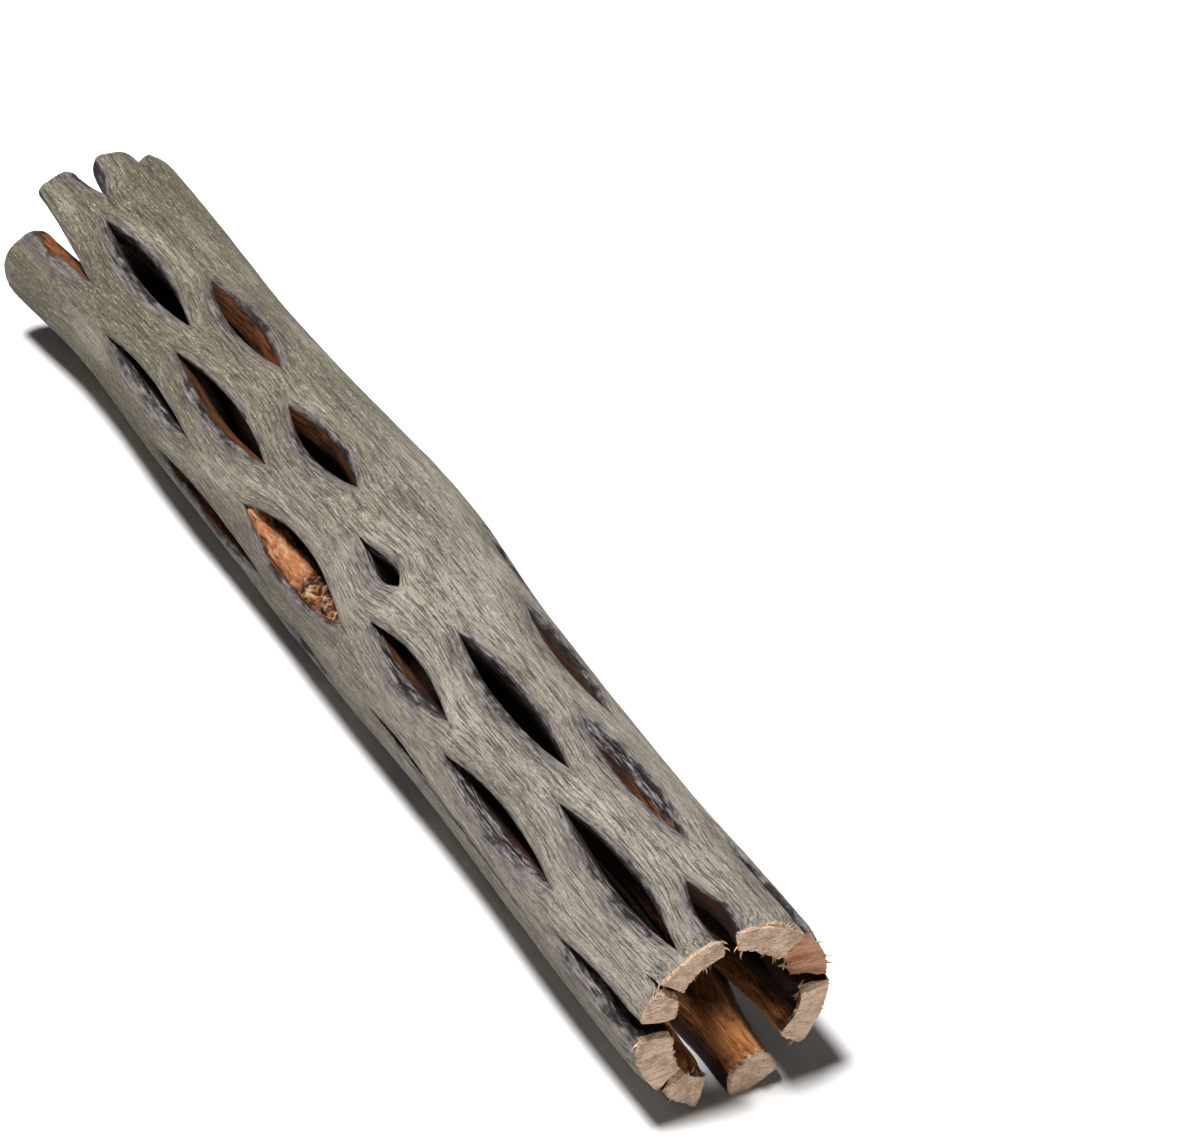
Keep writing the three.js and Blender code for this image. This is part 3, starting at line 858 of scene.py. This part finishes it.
    def torn_ridge(self):
        """The ridge of crumbling wood along the torn slot's lower wall: points, faces and finish values. It
        is smooth and fibrous at one end, and crumbles towards the other."""
        slot = next(slot for slot in self.slots if slot.torn)
        edge = self.level(-1, 0.0)["position"][slot.line, slot.first : slot.last + 1]
        share = np.linspace(*RIDGE_ENDS, RIDGE_RINGS)
        along = np.linspace(0, 1, len(edge))
        edge = np.stack([np.interp(share, along, edge[:, axis]) for axis in range(3)], -1)[:, None]
        turn = np.radians(slot.line * LINE_STEP)
        across = np.array([0.0, np.cos(turn), -np.sin(turn)])
        inward = np.array([0.0, -np.sin(turn), -np.cos(turn)])
        radius = (self.shape.ridge_width / 2 * np.sqrt(4 * share * (1 - share)))[:, None, None]
        crumbled = smooth(share, *CRUMBLING_RUN)[:, None, None]
        sideways = RIDGE_ACROSS + (CRUMBS_ACROSS - RIDGE_ACROSS) * crumbled
        middle = edge + radius * (sideways * across + RIDGE_INWARD * inward)
        round_about = np.linspace(0, 2 * np.pi, RIDGE_SIDES, endpoint=False)[None, :, None]
        offset = radius * (np.cos(round_about) * across + np.sin(round_about) * inward)
        points = (middle + offset).reshape(-1, 3)
        ring = np.arange(RIDGE_RINGS * RIDGE_SIDES).reshape(RIDGE_RINGS, RIDGE_SIDES)
        following = np.roll(ring, -1, 1)
        quads = np.stack([ring[:-1], ring[1:], following[1:], following[:-1]], -1).reshape(-1, 4)
        faces = quads.tolist() + [ring[0].tolist(), ring[-1, ::-1].tolist()]
        fibre = np.concatenate([points[:, :1], offset.reshape(-1, 3)[:, 1:]], 1)
        height = self.shape.ridge_relief * np.ones((1, RIDGE_SIDES, 1))
        fibrous = FIBROUS_RELIEF + (CRUMBLY_RELIEF - FIBROUS_RELIEF) * crumbled
        values = {"relief": fibrous * height, "lumps": crumbled * height}
        return points, faces, fibre, {name: value.ravel() for name, value in values.items()}

    def faces(self, numbers):
        """Four-cornered faces that close the stem, and which of them the saw cut."""
        left, right = numbers[:, 1], np.roll(numbers[:, 0], -1, 1)
        around = np.stack([left[:, :, :-1], left[:, :, 1:], right[:, :, 1:], right[:, :, :-1]], -1)
        across = np.stack([left[1:], right[1:], right[:-1], left[:-1]], -1)
        parts = [around[0].reshape(-1, 4), around[-1].reshape(-1, 4)[:, ::-1]]
        parts.append(across[:, :, 0].reshape(-1, 4)[:, ::-1])
        for slot in self.slots:
            run = slice(max(slot.first, 0), slot.last + 1)
            for side, turn in ((1, 1), (0, -1)):
                wall = numbers[:, side, slot.line, run]
                quads = np.stack([wall[1:, :-1], wall[1:, 1:], wall[:-1, 1:], wall[:-1, :-1]], -1)
                parts.append(quads.reshape(-1, 4)[:, ::turn])
        sawn = across[:, :, -1].reshape(-1, 4)
        quads = np.concatenate(parts + [sawn])
        is_sawn = np.arange(len(quads)) >= len(quads) - len(sawn)
        return quads, is_sawn


def store(mesh, name, kind, domain, values):
    """Keep one value for each point or face of a mesh."""
    attribute = mesh.attributes.new(name, kind, domain)
    field = "vector" if kind == "FLOAT_VECTOR" else "value"
    attribute.data.foreach_set(field, np.ascontiguousarray(values).ravel())


def new_tree(name, sizes):
    """A Geometry Nodes tree with named inputs, and its input and output nodes."""
    tree = bpy.data.node_groups.new(name, "GeometryNodeTree")
    tree.interface.new_socket("Geometry", in_out="INPUT", socket_type="NodeSocketGeometry")
    for label, kind in sizes.items():
        tree.interface.new_socket(label, in_out="INPUT", socket_type=kind)
    tree.interface.new_socket("Geometry", in_out="OUTPUT", socket_type="NodeSocketGeometry")
    return tree, tree.nodes.new("NodeGroupInput"), tree.nodes.new("NodeGroupOutput")


def grown(piece, tree, values):
    """Run a tree on a piece with these input values, and keep the result as the piece's plain mesh."""
    modifier = piece.modifiers.new(tree.name, "NODES")
    modifier.node_group = tree
    for socket in tree.interface.items_tree:
        if socket.in_out == "INPUT" and socket.name in values:
            modifier[socket.identifier] = values[socket.name]
    graph = bpy.context.evaluated_depsgraph_get()
    made = bpy.data.meshes.new_from_object(piece.evaluated_get(graph))
    piece.modifiers.remove(modifier)
    old = piece.data
    piece.data = made
    bpy.data.meshes.remove(old)
    made.name = piece.name
    return piece


def relief_tree():
    """Raises fibres along the grain and lumps of torn wood as high as each point states, and sets both
    woods."""
    sizes = {
        "Fibre width": "NodeSocketFloat",
        "Fibre length": "NodeSocketFloat",
        "Lump size": "NodeSocketFloat",
        "Seed": "NodeSocketFloat",
        "Weathered wood": "NodeSocketMaterial",
        "Sawn wood": "NodeSocketMaterial",
    }
    tree, given, result = new_tree("raised_fibres", sizes)
    value = given.outputs
    fibre = add(tree, "GeometryNodeInputNamedAttribute", {"Name": "fibre"}, data_type="FLOAT_VECTOR")
    length, width, lump = value["Fibre length"], value["Fibre width"], value["Lump size"]
    grains = {"relief": (length, width, width), "lumps": (lump, lump, lump)}
    heights = []
    for name, grain in grains.items():
        spacing = add(tree, "ShaderNodeCombineXYZ", dict(enumerate(grain)))
        scaled = add(tree, "ShaderNodeVectorMath", {0: fibre, 1: spacing}, operation="DIVIDE")
        settings = {"W": value["Seed"], "Scale": 1.0, "Detail": 3.0, "Roughness": 0.6}
        noise = add(tree, "ShaderNodeTexNoise", {"Vector": scaled, **settings}, noise_dimensions="4D")
        centred = add(tree, "ShaderNodeMath", {0: noise, 1: 0.5}, operation="SUBTRACT")
        amount = add(tree, "GeometryNodeInputNamedAttribute", {"Name": name}, data_type="FLOAT")
        heights.append(add(tree, "ShaderNodeMath", {0: centred, 1: amount}, operation="MULTIPLY"))
    raised = add(tree, "ShaderNodeMath", dict(enumerate(heights)), operation="ADD")
    named = {"Geometry": value["Geometry"], "Name": "raised", "Value": raised}
    kept = add(tree, "GeometryNodeStoreNamedAttribute", named)
    metres = add(tree, "ShaderNodeMath", {0: raised, 1: 2 * MM}, operation="MULTIPLY")
    normal = add(tree, "GeometryNodeInputNormal")
    offset = add(tree, "ShaderNodeVectorMath", {0: normal, "Scale": metres}, operation="SCALE")
    moved = add(tree, "GeometryNodeSetPosition", {"Geometry": kept, "Offset": offset})
    whole = add(tree, "GeometryNodeRealizeInstances", {"Geometry": moved})
    skinned = {"Geometry": whole, "Material": value["Weathered wood"]}
    skin = add(tree, "GeometryNodeSetMaterial", skinned)
    is_sawn = add(tree, "GeometryNodeInputNamedAttribute", {"Name": "sawn"}, data_type="BOOLEAN")
    sawn = {"Geometry": skin, "Selection": is_sawn, "Material": value["Sawn wood"]}
    cut = add(tree, "GeometryNodeSetMaterial", sawn)
    fill(tree, result, {0: cut})
    return tree


def torn_tree():
    """Sets curled, tapering slivers on a share of the given points, each along the way that its point
    states."""
    sizes = {
        "Length": "NodeSocketFloat",
        "Width": "NodeSocketFloat",
        "Share": "NodeSocketFloat",
        "Bareness": "NodeSocketFloat",
        "Seed": "NodeSocketInt",
        "Wood": "NodeSocketMaterial",
    }
    tree, given, result = new_tree("torn_fibres", sizes)
    value = given.outputs
    seed = value["Seed"]

    # One sliver, of unit length
    bend = {"Start": (0, 0, -0.15), "Middle": (0.05, 0, 0.5), "End": (0.5, 0, 0.85)}
    curve = add(tree, "GeometryNodeCurveQuadraticBezier", {"Resolution": 6, **bend})
    along = add(tree, "GeometryNodeSplineParameter")
    squared = add(tree, "ShaderNodeMath", {0: along, 1: 2.0}, operation="POWER")
    taper = add(tree, "ShaderNodeMath", {0: 1.0, 1: squared}, operation="SUBTRACT")
    slim = add(tree, "ShaderNodeMath", {0: value["Width"], 1: value["Length"]}, operation="DIVIDE")
    girth = add(tree, "ShaderNodeMath", {0: taper, 1: slim}, operation="MULTIPLY")
    ring = add(tree, "GeometryNodeCurvePrimitiveCircle", {"Resolution": 5, "Radius": 0.5})
    flat = add(tree, "GeometryNodeTransform", {"Geometry": ring, "Scale": (1.0, SLIVER_FLATNESS, 1.0)})
    swept = {"Curve": curve, "Profile Curve": flat, "Scale": girth, "Fill Caps": True}
    sliver = add(tree, "GeometryNodeCurveToMesh", swept)

    # The points that have one
    points = add(tree, "GeometryNodeMeshToPoints", {"Mesh": value["Geometry"]})
    drawn = {"Probability": value["Share"], "Seed": seed}
    chosen = add(tree, "FunctionNodeRandomValue", drawn, data_type="BOOLEAN")
    place = add(tree, "GeometryNodeInputPosition")
    spots = {"Vector": place, "W": seed, "Scale": TUFTS_PER_METRE}
    tufts = add(tree, "ShaderNodeTexNoise", spots, noise_dimensions="4D")
    tufted = add(tree, "FunctionNodeCompare", {0: tufts, 1: value["Bareness"]}, operation="GREATER_THAN")
    both = add(tree, "FunctionNodeBooleanMath", {0: chosen, 1: tufted}, operation="AND")

    # Its size and turn at each of them
    sizes = {2: SLIVER_SIZES[0], 3: SLIVER_SIZES[1], "Seed": seed}
    size = add(tree, "FunctionNodeRandomValue", sizes, data_type="FLOAT")
    scale = add(tree, "ShaderNodeMath", {0: size, 1: value["Length"]}, operation="MULTIPLY")
    turns = {0: [-angle for angle in SLIVER_TURN], 1: SLIVER_TURN, "Seed": seed}
    turn = add(tree, "FunctionNodeRandomValue", turns, data_type="FLOAT_VECTOR")
    way = add(tree, "GeometryNodeInputNamedAttribute", {"Name": "way"}, data_type="FLOAT_VECTOR")
    aligned = add(tree, "FunctionNodeAlignRotationToVector", {"Vector": way}, axis="Z")
    both_turns = {"Rotation": aligned, "Rotate By": turn}
    turned = add(tree, "FunctionNodeRotateRotation", both_turns, rotation_space="LOCAL")
    slivers = {"Points": points, "Selection": both, "Instance": sliver, "Rotation": turned, "Scale": scale}
    placed = add(tree, "GeometryNodeInstanceOnPoints", slivers)
    whole = add(tree, "GeometryNodeRealizeInstances", {"Geometry": placed})
    wood = add(tree, "GeometryNodeSetMaterial", {"Geometry": whole, "Material": value["Wood"]})
    fill(tree, result, {0: wood})
    return tree


def link(name, data):
    """Add an object at the origin to the scene."""
    piece = bpy.data.objects.new(name, data)
    bpy.context.scene.collection.objects.link(piece)
    return piece


class DRIFTWOOD_OT_stem(bpy.types.Operator):
    """Build the slotted stem with its raised fibres and its weathered and sawn wood"""

    bl_idname = "driftwood.stem"
    bl_label = "Cholla stem"

    def execute(self, context):
        shape = context.scene.driftwood_shape
        finish = context.scene.driftwood_finish
        grid = StemGrid(shape)
        numbers, values = grid.nodes()
        quads, is_sawn = grid.faces(numbers)
        mesh = bpy.data.meshes.new("stem_of_fibres")
        mesh.from_pydata(values["position"] * MM, [], quads.tolist())
        store(mesh, "fibre", "FLOAT_VECTOR", "POINT", values["fibre"])
        for name in ("depth", "bright", "stain", "greyed", "relief", "lumps", "border", "broken"):
            store(mesh, name, "FLOAT", "POINT", values[name])
        store(mesh, "sawn", "BOOLEAN", "FACE", is_sawn)
        mesh.shade_smooth()
        piece = link("weathered_stem", mesh)
        sizes = {
            "Fibre width": shape.fibre_width,
            "Fibre length": shape.fibre_length,
            "Lump size": shape.lump_size,
            "Seed": float(shape.seed),
            "Weathered wood": weathered_cholla(finish),
            "Sawn wood": sawn_cholla(finish),
        }
        grown(piece, relief_tree(), sizes)
        piece.data.set_sharp_from_angle(angle=math.radians(SHARP_ANGLE))
        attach(piece, "root")
        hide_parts(STEM_NODE)
        return {"FINISHED"}


class DRIFTWOOD_OT_torn_slot(bpy.types.Operator):
    """Lay the ridge of crumbling wood along the lower wall of the torn slot"""

    bl_idname = "driftwood.torn_slot"
    bl_label = "Torn slot"

    def execute(self, context):
        shape = context.scene.driftwood_shape
        points, faces, fibre, values = StemGrid(shape).torn_ridge()
        mesh = bpy.data.meshes.new("crumbling_ridge")
        mesh.from_pydata(points * MM, [], faces)
        store(mesh, "fibre", "FLOAT_VECTOR", "POINT", fibre)
        for name, value in values.items():
            store(mesh, name, "FLOAT", "POINT", value)
        mesh.shade_smooth()
        wood = crumbling_cholla(context.scene.driftwood_finish)
        sizes = {
            "Fibre width": shape.crumb_width,
            "Fibre length": shape.crumb_length,
            "Lump size": shape.crumb_width,
            "Seed": float(shape.seed),
            "Weathered wood": wood,
            "Sawn wood": wood,
        }
        piece = grown(link("crumbling_ridge", mesh), relief_tree(), sizes)
        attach(piece, "root")
        return {"FINISHED"}


class DRIFTWOOD_OT_torn_fibres(bpy.types.Operator):
    """Add the fibres that the saw tore loose along the edges of the sawn end"""

    bl_idname = "driftwood.torn_fibres"
    bl_label = "Torn fibres"

    def execute(self, context):
        shape = context.scene.driftwood_shape
        points, ways = StemGrid(shape).sawn_rim()
        mesh = bpy.data.meshes.new("frayed_sawn_edge")
        mesh.from_pydata(points * MM, [], [])
        store(mesh, "way", "FLOAT_VECTOR", "POINT", ways)
        sizes = {
            "Length": shape.torn_length * MM,
            "Width": shape.torn_width * MM,
            "Share": shape.torn_share,
            "Bareness": shape.torn_bareness,
            "Seed": shape.seed,
            "Wood": torn_cholla(context.scene.driftwood_finish),
        }
        piece = grown(link("frayed_sawn_edge", mesh), torn_tree(), sizes)
        if not piece.data.polygons:
            raise RuntimeError("the sawn edge has no torn fibres")
        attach(piece, "root")
        return {"FINISHED"}


class DRIFTWOOD_OT_studio(bpy.types.Operator):
    """Lay a pale floor, light it softly and set the camera at the photograph's angle"""

    bl_idname = "driftwood.studio"
    bl_label = "Studio"

    def execute(self, context):
        look = context.scene.driftwood_studio
        self.lay_floor(look)
        self.set_camera(context.scene)
        self.set_light(context.scene, look)
        return {"FINISHED"}

    def lay_floor(self, look):
        """A wide flat board under the stem."""
        mesh = bpy.data.meshes.new("floor")
        corners = [(FLOOR_HALF * x, FLOOR_HALF * y, 0) for x, y in ((-1, -1), (1, -1), (1, 1), (-1, 1))]
        mesh.from_pydata(corners, [], [(0, 1, 2, 3)])
        mesh.materials.append(plain_floor(look))
        link("floor", mesh)

    def set_camera(self, scene):
        """The camera that was fitted to the photograph."""
        elevation, heading = math.radians(CAMERA_ELEVATION), math.radians(CAMERA_HEADING)
        level = math.cos(elevation)
        back = Vector((math.cos(heading) * level, math.sin(heading) * level, math.sin(elevation)))
        right = Vector((-math.sin(heading), math.cos(heading), 0.0))
        up = back.cross(right)
        axis = Vector((-MIDDLE, 0.0, AXIS_HEIGHT))
        aside = (AXIS_PIXEL[0] - PHOTO_SIZE[0] / 2) / FOCAL_PIXELS * CAMERA_DISTANCE
        above = (PHOTO_SIZE[1] / 2 - AXIS_PIXEL[1]) / FOCAL_PIXELS * CAMERA_DISTANCE
        data = bpy.data.cameras.new("camera")
        data.sensor_width = SENSOR_WIDTH
        data.lens = FOCAL_PIXELS * SENSOR_WIDTH / PHOTO_SIZE[0]
        data.clip_start, data.clip_end = SEEN_FROM, SEEN_TO
        camera = link("camera", data)
        place = axis - aside * right - above * up + CAMERA_DISTANCE * back
        turn = Matrix((right, up, back)).transposed().to_4x4()
        camera.matrix_world = Matrix.Translation(place * MM) @ turn
        scene.camera = camera

    def set_light(self, scene, look):
        """A soft light above, a weaker one in front and an even one all round."""
        world = bpy.data.worlds.new("studio")
        world.use_nodes = True
        background = world.node_tree.nodes["Background"]
        background.inputs["Color"].default_value = (1.0, 1.0, 1.0, 1.0)
        background.inputs["Strength"].default_value = look.ambient
        scene.world = world
        self.add_light("key", look.key_power, *KEY_LIGHT)
        self.add_light("fill", look.fill_power, *FILL_LIGHT)
        scene.view_settings.view_transform = "Standard"

    def add_light(self, name, power, size, place):
        """A round soft light that shines on the middle of the stem."""
        data = bpy.data.lights.new(name, "AREA")
        data.shape = "DISK"
        data.size = size
        data.energy = power
        light = link(name, data)
        light.location = place
        light.rotation_mode = "QUATERNION"
        light.rotation_quaternion = light.location.to_track_quat("Z", "Y")


class DRIFTWOOD_PT_panel(bpy.types.Panel):
    """Pieces of the driftwood and their sizes and colours"""

    bl_label = "Driftwood"
    bl_idname = "DRIFTWOOD_PT_panel"
    bl_space_type = "VIEW_3D"
    bl_region_type = "UI"
    bl_category = "Driftwood"

    def draw(self, context):
        for operator in OPERATORS:
            self.layout.operator(operator.bl_idname)
        for name in SETTINGS:
            settings = getattr(context.scene, name)
            for key in settings.__annotations__:
                self.layout.prop(settings, key)


OPERATORS = (DRIFTWOOD_OT_studio, DRIFTWOOD_OT_stem, DRIFTWOOD_OT_torn_slot, DRIFTWOOD_OT_torn_fibres)
SETTINGS = {
    "driftwood_shape": StemShape,
    "driftwood_finish": StemFinish,
    "driftwood_studio": StudioLook,
}


def register():
    for kind in (*SETTINGS.values(), *OPERATORS, DRIFTWOOD_PT_panel):
        bpy.utils.register_class(kind)
    for name, kind in SETTINGS.items():
        setattr(bpy.types.Scene, name, bpy.props.PointerProperty(type=kind))


def unregister():
    for name in SETTINGS:
        delattr(bpy.types.Scene, name)
    for kind in reversed((*SETTINGS.values(), *OPERATORS, DRIFTWOOD_PT_panel)):
        bpy.utils.unregister_class(kind)


def main():
    register()
    bpy.ops.driftwood.studio()
    bpy.ops.driftwood.stem()
    bpy.ops.driftwood.torn_slot()
    bpy.ops.driftwood.torn_fibres()


if __name__ == "__main__":
    main()
